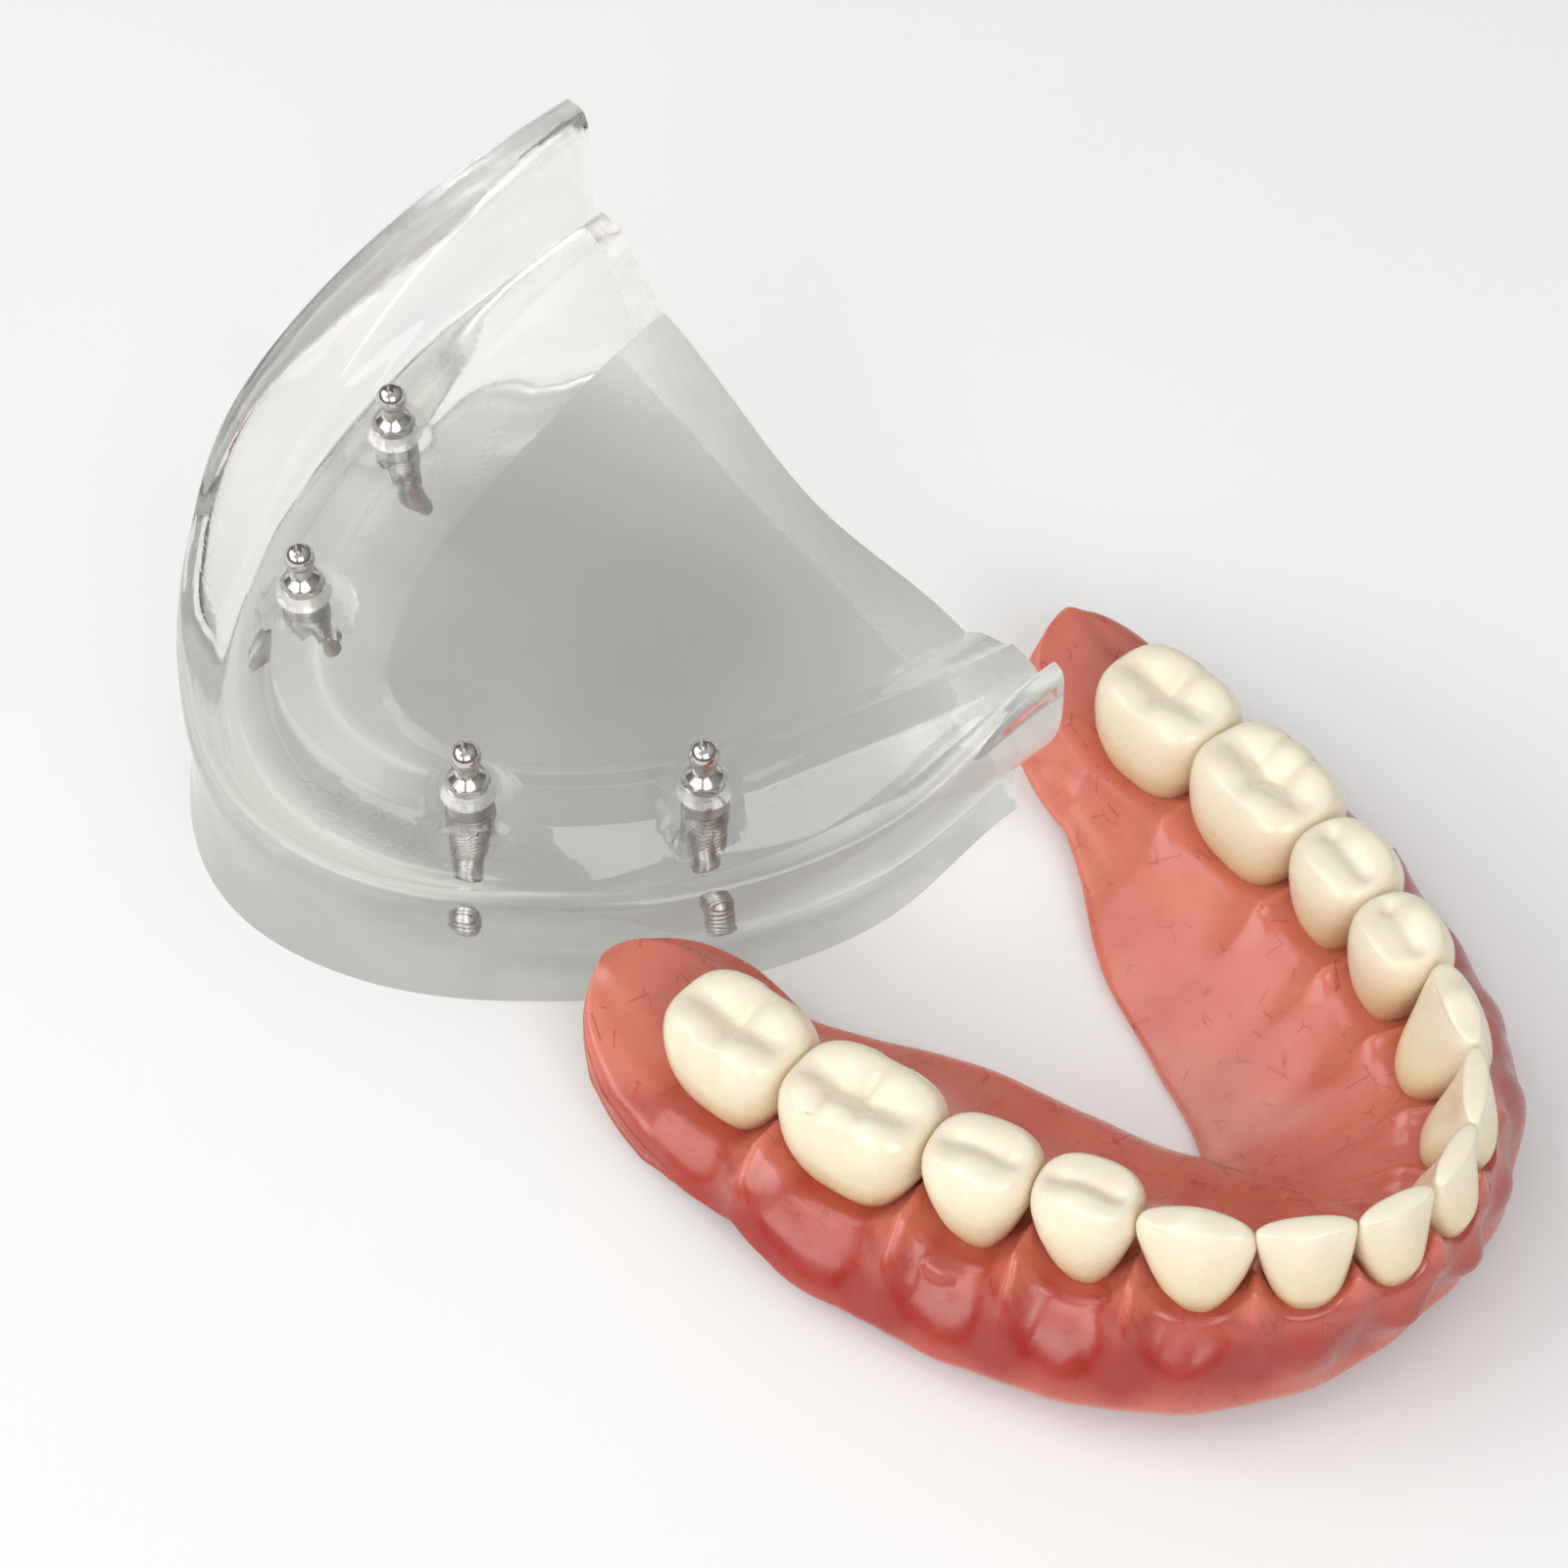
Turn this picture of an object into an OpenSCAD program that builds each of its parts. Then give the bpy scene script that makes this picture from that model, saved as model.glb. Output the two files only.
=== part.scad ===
// Lower-jaw overdenture demonstration model: a clear acrylic jaw block with
// four threaded implants and ball abutments, and the removable denture that
// snaps on to them. The denture lies on the table beside the block.

/* [Ridge and block] */
// Half width of the ridge crest's arch
crest_half_w = 29.5; // [28.5:0.5:30.5]
// Length of the ridge crest's arch, as an ellipse's half axis
crest_len = 60; // [58:1:62]
// How far the front of the crest lies ahead of the front implants
crest_front = 6; // [5.5:0.25:6.5]
// Distance of the flat back wall behind the front implants
back_wall = 41; // [40.5:0.5:42]
// Height of the ridge crest at the implants
crest_h = 14.2; // [14:0.1:14.4]

/* [Implants and ball abutments] */
// Distance between the two front implants
front_span = 24.4; // [23:0.2:25]
// Distance between the two rear implants
rear_span = 45.1; // [44:0.1:46]
// Distance of the rear implants behind the front ones
rear_back = 15.05; // [14.5:0.05:15.5]
// Diameter of each implant
implant_d = 2.4; // [2.2:0.1:2.6]
// Length of each implant
implant_len = 11.4; // [10:0.2:12]
// Diameter of the ball on each abutment
ball_d = 2.5; // [2.25:0.25:2.5]
// Height of the ball's centre above the table
ball_h = 19; // [18.8:0.1:19.2]
// Width of the hexagon collar across its corners
hex_w = 3.6; // [3.4:0.1:3.6]

/* [Denture] */
// Height of the biting plane above the table when the denture is seated
bite_h = 30.5; // [30:0.25:31]
// Height of the tooth necks above the table when the denture is seated
bed_h = 22.4; // [22.4:0.1:22.8]
// Half width of the arch on which the teeth stand
tooth_half_w = 23.2; // [23:0.1:23.4]
// Length of the arch on which the teeth stand, as an ellipse's half axis
tooth_len = 55; // [54.5:0.5:55.5]
// Outer diameter of each retention housing
housing_d = 4.8; // [4.8:0.1:5]

/* [Resting place of the denture] */
// Turn of the denture on the table, in degrees
rest_turn = 98; // [96:1:100]
// Backward tilt of the denture as it lies on its borders, in degrees
rest_tilt = 8; // [7.5:0.25:8]
// Distance of the denture's middle to the right of the block's middle
rest_x = 62; // [62:0.5:70]
// Distance of the denture's middle behind the front implants
rest_y = 31.5; // [31.5:0.5:33]

/* [Hidden] */
$fn = 48;
SIDES = [-1, 1];
SIDE_NAMES = ["left", "right"];
TOOTH_KINDS = ["central_incisor", "lateral_incisor", "canine", "first_premolar",
    "second_premolar", "first_molar", "second_molar"];
IMPLANT_ROWS = ["front", "rear"];

// Mesiodistal width, buccolingual depth and crown height of each kind of tooth
TOOTH_W = [5.6, 6.6, 8.3, 8.2, 8.7, 12.4, 11.6];
TOOTH_D = [5.4, 5.8, 7.2, 7.6, 8.2, 10, 9.6];
TOOTH_H = bite_h - bed_h;
// A gap between neighbouring crowns, and how boxy each crown's outline is
tooth_gap = 0.1;
TOOTH_BOXY = [2.2, 2.2, 2.2, 2.3, 2.3, 3, 3];

// ---- Curves shared by the block and the denture ----

// Angle along the crest's ellipse at which the crest meets the back wall
rear_angle = acos(1 - (back_wall + crest_front) / crest_len);
// Direction of the crest there, which is turned to lie along the back wall
rear_turn = 90 - atan2(crest_len * sin(rear_angle), crest_half_w * cos(rear_angle));

function crest_xy(t) = [crest_half_w * sin(t), -crest_front + crest_len * (1 - cos(t))];
function outward(t) =
    let (natural = atan2(crest_len * sin(t), crest_half_w * cos(t)),
         turn = natural + sign(t) * rear_turn * pow(t / rear_angle, 2))
    [sin(turn), -cos(turn)];
function at_crest(t, off, z) = let (p = crest_xy(t) + off * outward(t)) [p.x, p.y, z];

// Smooth curve through four neighbouring values
function spline(p0, p1, p2, p3, u) =
    p1 + u * (p2 - p0) / 2 + u * u * (2 * p0 - 5 * p1 + 4 * p2 - p3) / 2
    + u * u * u * (3 * p1 - p0 - 3 * p2 + p3) / 2;
// Value at a share s of the way from the front of the arch to the back wall,
// through values given at equal steps
function along(values, s) =
    let (n = len(values) - 1, k = max(0, min(n - 1, floor(s * n))), u = s * n - k)
    spline(values[k == 0 ? 1 : k - 1], values[k], values[k + 1], values[min(n, k + 2)], u);
// Smooth curve through a list of points, with some steps between each two
function curve_through(points, steps) =
    let (n = len(points) - 1)
    concat([for (k = [0 : n - 1], i = [0 : steps - 1])
        spline(points[max(0, k - 1)], points[k], points[k + 1], points[min(n, k + 2)], i / steps)],
        [points[n]]);

// ---- Jaw block ----

block_steps = 20;
profile_steps = 4;
floor_steps = 4;
// Each list runs from the middle of the front to the back wall.
// Offsets are from the crest, positive outwards; heights are from the table.
FOOT_OFF = [10.4, 9.5, 8.6, 8.2, 6.3, 0.5];
WALL_OFF = [9.2, 8.7, 8.4, 8.7, 8.2, 4.5];
RIM_OFF = [9.2, 8.8, 8.6, 9.2, 8.6, 5];
RIM_H = [12.2, 12.2, 12.8, 15.2, 22, 28.5];
// Width of the rim's flat top, and how much further out the left side stands
RIM_W = [1.1, 1.1, 1.2, 1.5, 2, 0.8];
LEFT_BULGE = [0, 0.4, 2.6, 4.6, 2.6, 1.5];
// How much lower the right side's rim is
RIGHT_DROP = [0, 0, 0.2, 1.9, 6, 6.5];
VESTIBULE_OFF = [4.9, 4.9, 5.2, 5.7, 5.4, 3];
VESTIBULE_H = [10, 10, 10.2, 11, 13.6, 17.8];
CREST_RISE = [0, 0, 0, 0, 3.2, 4.8];
FLOOR_OFF = [-7.5, -7.5, -7.5, -7.5, -7.5, -7.5];
FLOOR_H = [11, 10.5, 10.3, 10.3, 11.5, 14.5];
// Place and height of the floor's midline, where the sections of both sides meet
MIDLINE_Y = [6, 9, 14, 22, 31, back_wall];
MIDLINE_H = [10.3, 9.8, 9.5, 9.3, 9.2, 10.8];
plinth_mid_h = 4;
plinth_draft = 0.7;
wall_share = 0.62;
shoulder_off = 2.5;
shoulder_drop = 1;

function crest_z(s) = crest_h + along(CREST_RISE, s);

// Cross-section from the foot over the rim and the ridge to the floor's edge,
// as offset and height
function block_profile(s, side) =
    let (foot = along(FOOT_OFF, s), bulge = side < 0 ? along(LEFT_BULGE, s) : 0,
         rim = along(RIM_OFF, s) + bulge,
         rim_h = along(RIM_H, s) - (side > 0 ? along(RIGHT_DROP, s) : 0),
         crest = crest_z(s), floor_off = along(FLOOR_OFF, s), floor_h = along(FLOOR_H, s))
    [[foot, 0],
     [foot - plinth_draft, plinth_mid_h],
     [along(WALL_OFF, s) + bulge, rim_h * wall_share],
     [rim, rim_h - 1.4],
     [rim - 0.9, rim_h],
     [rim - 0.9 - bulge - along(RIM_W, s), rim_h - 0.8],
     [along(VESTIBULE_OFF, s), along(VESTIBULE_H, s)],
     [shoulder_off, crest - shoulder_drop],
     [shoulder_off / 2, crest],
     [-shoulder_off / 2, crest],
     [-shoulder_off, crest - shoulder_drop],
     [-5.2, (crest + floor_h) / 2 - 0.2],
     [floor_off, floor_h]];

function block_section(t) =
    let (s = abs(t) / rear_angle,
         outer = [for (p = curve_through(block_profile(s, sign(t)), profile_steps))
             at_crest(t, p[0], p[1])],
         edge = outer[len(outer) - 1],
         middle = [0, along(MIDLINE_Y, s), along(MIDLINE_H, s)])
    concat(outer, [for (i = [1 : floor_steps]) let (u = i / floor_steps, w = u * u * (3 - 2 * u))
        [edge.x * (1 - u), edge.y + (middle.y - edge.y) * u, edge.z + (middle.z - edge.z) * w]]);

block_angles = [for (i = [-block_steps : block_steps]) rear_angle * i / block_steps];
block_rows = len(block_section(0));
block_cols = 2 * block_steps + 1;

// Number of the point at column i, counted from the middle, and row j. The two
// halves share their last row, which runs along the midline of the floor.
function block_point(i, j) =
    j < block_rows - 1 ? j * block_cols + i + block_steps
                       : (block_rows - 1) * block_cols + abs(i);

module block_shell() {
    sections = [for (t = block_angles) block_section(t)];
    points = concat(
        [for (j = [0 : block_rows - 2], i = [0 : block_cols - 1]) sections[i][j]],
        [for (i = [0 : block_steps]) sections[i + block_steps][block_rows - 1]]);
    walls = [for (i = [-block_steps : block_steps - 1], j = [0 : block_rows - 2])
        each (j == block_rows - 2
            ? (i < 0
                ? [[block_point(i, j), block_point(i, j + 1), block_point(i + 1, j + 1)],
                   [block_point(i, j), block_point(i + 1, j + 1), block_point(i + 1, j)]]
                : [[block_point(i, j), block_point(i, j + 1), block_point(i + 1, j)],
                   [block_point(i + 1, j), block_point(i, j + 1), block_point(i + 1, j + 1)]])
            : [[block_point(i, j), block_point(i, j + 1), block_point(i + 1, j)],
               [block_point(i + 1, j), block_point(i, j + 1), block_point(i + 1, j + 1)]])];
    foot = [[for (i = [-block_steps : block_steps]) block_point(i, 0)]];
    back = [concat([for (j = [0 : block_rows - 1]) block_point(block_steps, j)],
        [for (j = [block_rows - 2 : -1 : 0]) block_point(-block_steps, j)])];
    polyhedron(points, concat(walls, foot, back));
}

// ---- Implants and ball abutments ----

implant_top = 14.4;
implant_foot = implant_top - implant_len;
thread_pitch = 0.4;
thread_depth = 0.12;
seat_r = 1.85;
boss_r = 2.15;
boss_h = 16;
screw_r = 0.8;
screw_len = 3;
screw_gap = 0.04;
stem_r = 0.95;
collar_h = 0.9;
collar_z = ball_h - 3.4;
abutment_foot = implant_top + 0.05;
socket_r = 0.5;
socket_len = 1.1;

function implant_xy(row, side) =
    row == 0 ? [side * front_span / 2, 0] : [side * rear_span / 2, rear_back];

module at_implant(row, side) {
    translate([implant_xy(row, side).x, implant_xy(row, side).y, 0]) children();
}

module jaw_block() {
    color([0.85, 0.9, 0.92, 0.4]) difference() {
        union() {
            block_shell();
            for (row = [0, 1], side = SIDES)
                at_implant(row, side)
                    translate([0, 0, crest_h - 3])
                        cylinder(r1 = boss_r + 0.5, r2 = boss_r, h = boss_h - crest_h + 3);
        }
        for (row = [0, 1], side = SIDES)
            at_implant(row, side) {
                translate([0, 0, implant_top]) cylinder(r = seat_r, h = 6);
                translate([0, 0, implant_foot]) cylinder(d = implant_d, h = implant_len + 1);
            }
    }
}

module implant(row, side) {
    threads = floor((implant_len - 3) / thread_pitch);
    r = implant_d / 2;
    color([0.72, 0.71, 0.68]) at_implant(row, side) rotate_extrude()
        polygon(concat(
            [[0, implant_foot], [r * 0.55, implant_foot], [r - thread_depth, implant_foot + 0.8]],
            [for (i = [0 : threads - 1], k = [0, 1])
                [r - (k == 0 ? thread_depth : 0), implant_foot + 1 + (i + k / 2) * thread_pitch]],
            [[r - thread_depth, implant_foot + 1 + threads * thread_pitch],
             [r, implant_foot + 1.3 + threads * thread_pitch],
             [r, implant_top],
             [screw_r + screw_gap, implant_top],
             [screw_r + screw_gap, implant_top - screw_len - 0.3],
             [0, implant_top - screw_len - 0.3]]));
}

module ball_abutment(row, side) {
    color([0.8, 0.79, 0.76]) at_implant(row, side) difference() {
        union() {
            translate([0, 0, implant_top - screw_len])
                cylinder(r = screw_r, h = screw_len + 0.5);
            translate([0, 0, abutment_foot])
                cylinder(d1 = implant_d, d2 = hex_w - 0.3, h = collar_z - abutment_foot);
            translate([0, 0, collar_z]) cylinder(d = hex_w, h = collar_h, $fn = 6);
            translate([0, 0, collar_z + collar_h]) cylinder(r1 = 1.45, r2 = stem_r, h = 0.5);
            translate([0, 0, collar_z + collar_h]) cylinder(r = stem_r, h = ball_h - collar_z - collar_h);
            translate([0, 0, ball_h]) sphere(d = ball_d);
        }
        translate([0, 0, ball_h + ball_d / 2 - socket_len]) cylinder(r = socket_r, h = socket_len + 1);
    }
}

// ---- Denture, drawn where it sits on the block ----

denture_end = 0.985;
denture_steps = 22;
cap_steps = 6;
cap_len = 10;
cap_rise = 5.2;
cap_pivot = [-4, 24];
// How square the end pads are: 2 is an ellipse
cap_square = 2.6;
fit_gap = 0.45;
// Middle and half width of the strip that carries the teeth, and the buccal
// and lingual borders, from the middle of the front to the back wall
BED_OFF = [3.2, 1.9, -0.6, -2.6, -4.3, -5.6];
BED_HALF = [3, 3.2, 3.9, 4.5, 5.4, 5.4];
BUCCAL_OFF = [4.6, 5.8, 7, 6.3, 5, 2.4];
BUCCAL_H = [12.7, 12.7, 13.2, 14, 16, 19.2];
LINGUAL_OFF = [-16.5, -16.5, -17.5, -19, -19, -14.5];
LINGUAL_H = [12.4, 12.3, 12.6, 13.6, 15.4, 18];

function denture_profile(s) =
    let (bed = along(BED_OFF, s), half = along(BED_HALF, s), crest = crest_z(s) + fit_gap,
         buccal = along(BUCCAL_OFF, s), buccal_h = along(BUCCAL_H, s),
         lingual = along(LINGUAL_OFF, s), lingual_h = along(LINGUAL_H, s),
         neck_out = bed + half, neck_in = bed - half)
    [[neck_out, bed_h],
     [max(neck_out, (neck_out + buccal) / 2) + 0.6, (bed_h * 2 + buccal_h) / 3],
     [buccal + 0.1, (bed_h + buccal_h * 2) / 3 - 0.4],
     [buccal, buccal_h + 1],
     [buccal - 0.9, buccal_h],
     [buccal - 1.7, buccal_h + 1.2],
     [shoulder_off + 0.35, crest - shoulder_drop + 0.25],
     [shoulder_off / 2, crest],
     [-shoulder_off / 2, crest],
     [-shoulder_off - 0.35, crest - shoulder_drop + 0.25],
     [lingual + 3, lingual_h + 1.8],
     [lingual + 1.4, lingual_h + 0.1],
     [lingual + 0.3, lingual_h + 0.3],
     [lingual, lingual_h + 1.4],
     [(lingual + neck_in) / 2 - 0.1, (bed_h + lingual_h) / 2],
     [neck_in, bed_h]];

// Sections along the arch, then sections that shrink to round off each end
function denture_section(t) =
    [for (p = denture_profile(abs(t) / rear_angle)) at_crest(t, p[0], p[1])];
function cap_section(side, u) =
    let (t = side * denture_end * rear_angle, out = outward(t), back = [-side * out.y, side * out.x],
         grow = pow(1 - pow(u, cap_square), 1 / cap_square),
         root = crest_xy(t) + cap_len * u * back)
    [for (p = denture_profile(denture_end))
        let (q = cap_pivot + [0, cap_rise * u] + (p - cap_pivot) * grow, xy = root + q[0] * out)
        [xy.x, xy.y, q[1]]];
cap_shares = [for (i = [1 : cap_steps]) sin(87 * i / cap_steps)];

module denture_shell() {
    end = denture_end * rear_angle;
    sections = concat(
        [for (i = [cap_steps - 1 : -1 : 0]) cap_section(-1, cap_shares[i])],
        [for (i = [-denture_steps : denture_steps]) denture_section(end * i / denture_steps)],
        [for (u = cap_shares) cap_section(1, u)]);
    n = len(sections[0]);
    last = len(sections) - 1;
    points = [for (section = sections) each section];
    sides = [for (i = [0 : last - 1], j = [0 : n - 1]) let (k = (j + 1) % n)
        each [[i * n + j, (i + 1) * n + j, i * n + k],
              [(i + 1) * n + j, (i + 1) * n + k, i * n + k]]];
    first_end = [[for (j = [0 : n - 1]) j]];
    last_end = [[for (j = [n - 1 : -1 : 0]) last * n + j]];
    polyhedron(points, concat(sides, first_end, last_end));
}

// Moves what is drawn on the block to where the denture lies on the table
seat_point = [0, 12, bite_h];
border_h = 12.59;
rest_z = (bite_h - border_h) * cos(rest_tilt);
module lay_down() {
    translate([rest_x, rest_y, rest_z])
        rotate([-rest_tilt, 0, rest_turn])
            translate(-seat_point) children();
}

relief_r = 2.7;
housing_foot = ball_h - 1.4;
housing_top = 21.3;

module denture_base() {
    color([0.85, 0.42, 0.38]) lay_down() difference() {
        denture_shell();
        for (row = [0, 1], side = SIDES)
            at_implant(row, side) {
                translate([0, 0, 5]) cylinder(r = relief_r, h = housing_foot - 5);
                translate([0, 0, housing_foot - 1]) cylinder(d = housing_d, h = housing_top - housing_foot + 1);
            }
    }
}

cavity_r = 1.65;
cavity_top = ball_h + ball_d / 2 + 0.35;
ring_z = ball_h - 0.8;
ring_thick = 0.8;
ring_mid_r = 1.6;

module retention_housing(row, side) {
    groove_r = ring_mid_r + ring_thick / 2;
    color([0.66, 0.65, 0.63]) lay_down() at_implant(row, side) rotate_extrude()
        polygon([[cavity_r, housing_foot], [housing_d / 2, housing_foot],
            [housing_d / 2, housing_top], [0, housing_top], [0, cavity_top],
            [cavity_r, cavity_top], [cavity_r, ring_z + ring_thick / 2],
            [groove_r, ring_z + ring_thick / 2], [groove_r, ring_z - ring_thick / 2],
            [cavity_r, ring_z - ring_thick / 2]]);
}

module o_ring(row, side) {
    color([0.12, 0.12, 0.13]) lay_down() at_implant(row, side)
        translate([0, 0, ring_z]) rotate_extrude()
            translate([ring_mid_r, 0]) circle(d = ring_thick, $fn = 24);
}

// ---- Teeth ----

tooth_front = 10;
function tooth_xy(u) = [tooth_half_w * sin(u), -tooth_front + tooth_len * (1 - cos(u))];
function tooth_facing(u) = atan2(tooth_len * sin(u), tooth_half_w * cos(u));
// Angle along the tooth arch at a given length from the midline
walk_step = 0.5;
function tooth_angle(length, u = 0) =
    let (step = norm(tooth_xy(u + walk_step) - tooth_xy(u)))
    length <= step ? u + walk_step * length / step
                   : tooth_angle(length - step, u + walk_step);
function widths_before(kind, i = 0) = i >= kind ? 0 : TOOTH_W[i] + widths_before(kind, i + 1);

// Width and depth of the crown at heights from the neck to the biting edge,
// as shares of the full size, for front teeth and for back teeth
CROWN_H = [0, 0.2, 0.5, 0.75, 0.92, 1];
FRONT_W = [0.66, 0.78, 0.92, 1, 1, 0.9];
FRONT_D = [0.86, 0.95, 0.8, 0.55, 0.36, 0.22];
BACK_W = [0.78, 0.88, 0.98, 1, 0.9, 0.66];
BACK_D = [0.84, 0.95, 1, 0.94, 0.76, 0.5];
crown_sides = 16;
fossa = 0.9;

function round_box(a, power) =
    [sign(cos(a)) * pow(abs(cos(a)), 2 / power), sign(sin(a)) * pow(abs(sin(a)), 2 / power)];

module crown(kind) {
    front = kind <= 2;
    w = TOOTH_W[kind] - tooth_gap;
    d = TOOTH_D[kind];
    rows = len(CROWN_H);
    lean = front ? 0.9 : 0;
    points = concat(
        [for (r = [0 : rows - 1], i = [0 : crown_sides - 1])
            let (a = 360 * (i + 0.5) / crown_sides, p = round_box(a, TOOTH_BOXY[kind]),
                 share_w = front ? FRONT_W[r] : BACK_W[r], share_d = front ? FRONT_D[r] : BACK_D[r])
            [p.x * w / 2 * share_w, p.y * d / 2 * share_d - lean * CROWN_H[r], TOOTH_H * CROWN_H[r]]],
        [[0, 0, 0], [0, -lean, TOOTH_H - (front ? 0.1 : fossa)]]);
    walls = [for (r = [0 : rows - 2], i = [0 : crown_sides - 1]) let (k = (i + 1) % crown_sides)
        each [[r * crown_sides + i, (r + 1) * crown_sides + i, r * crown_sides + k],
              [r * crown_sides + k, (r + 1) * crown_sides + i, (r + 1) * crown_sides + k]]];
    top = (rows - 1) * crown_sides;
    ends = [for (i = [0 : crown_sides - 1]) let (k = (i + 1) % crown_sides)
        each [[i, k, rows * crown_sides], [top + k, top + i, rows * crown_sides + 1]]];
    polyhedron(points, concat(walls, ends));
}

module tooth(kind, side) {
    u = tooth_angle(widths_before(kind) + TOOTH_W[kind] / 2);
    p = tooth_xy(u);
    color([0.94, 0.9, 0.8]) lay_down()
        translate([side * p.x, p.y, bed_h]) rotate([0, 0, side * tooth_facing(u)]) crown(kind);
}

// ---- The object ----

jaw_block();
denture_base();
for (row = [0, 1], i = [0, 1]) {
    place = str(IMPLANT_ROWS[row], "_", SIDE_NAMES[i]);
    implant(row, SIDES[i]);
    ball_abutment(row, SIDES[i]);
    retention_housing(row, SIDES[i]);
    o_ring(row, SIDES[i]);
}
for (kind = [0 : len(TOOTH_KINDS) - 1], i = [0, 1])
    tooth(kind, SIDES[i]);
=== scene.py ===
"""Overdenture demonstration model: a clear acrylic lower-jaw block with four ball
abutments, and the full lower denture that has been lifted off and lies beside it.

Shapes are worked out in millimetres, in the jaw's own frame (x to the right, y back,
z up), by the curves that the CAD part uses, and are turned into metres at the end.
"""

import math

import bmesh
import bpy
import numpy as np
from mathutils import Matrix, Vector


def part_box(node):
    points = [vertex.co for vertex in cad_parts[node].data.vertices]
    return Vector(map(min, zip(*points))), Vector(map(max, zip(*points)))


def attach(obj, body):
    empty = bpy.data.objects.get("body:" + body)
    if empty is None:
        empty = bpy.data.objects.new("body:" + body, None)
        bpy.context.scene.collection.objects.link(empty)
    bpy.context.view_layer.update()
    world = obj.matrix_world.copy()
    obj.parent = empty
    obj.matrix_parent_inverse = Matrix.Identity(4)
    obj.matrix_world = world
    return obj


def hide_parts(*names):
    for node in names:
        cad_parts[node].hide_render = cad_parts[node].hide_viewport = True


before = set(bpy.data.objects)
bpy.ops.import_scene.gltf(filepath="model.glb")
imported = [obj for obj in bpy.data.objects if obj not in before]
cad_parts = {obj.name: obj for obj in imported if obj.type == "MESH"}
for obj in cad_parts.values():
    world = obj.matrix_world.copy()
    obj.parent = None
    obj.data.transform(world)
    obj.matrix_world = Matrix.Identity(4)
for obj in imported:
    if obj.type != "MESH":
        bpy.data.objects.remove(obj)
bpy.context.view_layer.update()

MM = 0.001
SIDES = {"left": -1, "right": 1}
PLACES = [(row, side) for row in ("front", "rear") for side in SIDES]

# ---- Driving dimensions, as in the CAD part ----

CREST_HALF_W, CREST_LEN, CREST_FRONT = 29.5, 60, 6
BACK_WALL = 41
CREST_H = 14.2
BALL_H, BALL_D = 19, 2.5
BITE_H, BED_H = 30.5, 22.4
TOOTH_HALF_W, TOOTH_LEN, TOOTH_FRONT = 23.2, 55, 10
REST_TURN, REST_TILT, REST_X, REST_Y = 98, 8, 62, 31.5
BORDER_H = 12.59
SEAT_POINT = np.array([0, 12, BITE_H])
DENTURE_END = 0.985
CAP_LEN, CAP_RISE, CAP_PIVOT = 10, 5.2, (-4, 24)
CAP_SQUARE = 2.6
FIT_GAP = 0.45

# From the middle of the front to the back wall, offsets from the crest and heights
FOOT_OFF = [10.4, 9.5, 8.6, 8.2, 6.3, 0.5]
WALL_OFF = [9.2, 8.7, 8.4, 8.7, 8.2, 4.5]
RIM_OFF = [9.2, 8.8, 8.6, 9.2, 8.6, 5]
RIM_H = [12.2, 12.2, 12.8, 15.2, 22, 28.5]
RIM_W = [1.1, 1.1, 1.2, 1.5, 2, 0.8]
LEFT_BULGE = [0, 0.4, 2.6, 4.6, 2.6, 1.5]
RIGHT_DROP = [0, 0, 0.2, 1.9, 6, 6.5]
VESTIBULE_OFF = [4.9, 4.9, 5.2, 5.7, 5.4, 3]
VESTIBULE_H = [10, 10, 10.2, 11, 13.6, 17.8]
CREST_RISE = [0, 0, 0, 0, 3.2, 4.8]
FLOOR_OFF = [-7.5, -7.5, -7.5, -7.5, -7.5, -7.5]
FLOOR_H = [11, 10.5, 10.3, 10.3, 11.5, 14.5]
MIDLINE_Y = [6, 9, 14, 22, 31, BACK_WALL]
MIDLINE_H = [10.3, 9.8, 9.5, 9.3, 9.2, 10.8]
BED_OFF = [3.2, 1.9, -0.6, -2.6, -4.3, -5.6]
BED_HALF = [3, 3.2, 3.9, 4.5, 5.4, 5.4]
BUCCAL_OFF = [4.6, 5.8, 7, 6.3, 5, 2.4]
BUCCAL_H = [12.7, 12.7, 13.2, 14, 16, 19.2]
LINGUAL_OFF = [-16.5, -16.5, -17.5, -19, -19, -14.5]
LINGUAL_H = [12.4, 12.3, 12.6, 13.6, 15.4, 18]

KINDS = ["central_incisor", "lateral_incisor", "canine", "first_premolar",
         "second_premolar", "first_molar", "second_molar"]
TOOTH_W = [5.6, 6.6, 8.3, 8.2, 8.7, 12.4, 11.6]
TOOTH_D = [5.4, 5.8, 7.2, 7.6, 8.2, 10, 9.6]


# ---- Curves ----

def spline(p0, p1, p2, p3, u):
    """Catmull-Rom curve between p1 and p2."""
    return (p1 + u * (p2 - p0) / 2 + u * u * (2 * p0 - 5 * p1 + 4 * p2 - p3) / 2
            + u ** 3 * (3 * p1 - p0 - 3 * p2 + p3) / 2)


def along(values, s):
    """Value at a share s of the way from the front middle to the back wall."""
    n = len(values) - 1
    k = max(0, min(n - 1, int(s * n)))
    before = values[1 if k == 0 else k - 1]
    return spline(before, values[k], values[k + 1], values[min(n, k + 2)], s * n - k)


def curve_through(points, steps):
    """Smooth curve through points, with some steps between each two."""
    pts = np.array(points, float)
    n = len(pts) - 1
    out = [spline(pts[max(0, k - 1)], pts[k], pts[k + 1], pts[min(n, k + 2)], i / steps)
           for k in range(n) for i in range(steps)]
    return np.array(out + [pts[n]])


def smooth(lo, hi, x):
    u = np.clip((np.asarray(x, float) - lo) / (hi - lo), 0, 1)
    return u * u * (3 - 2 * u)


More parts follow.
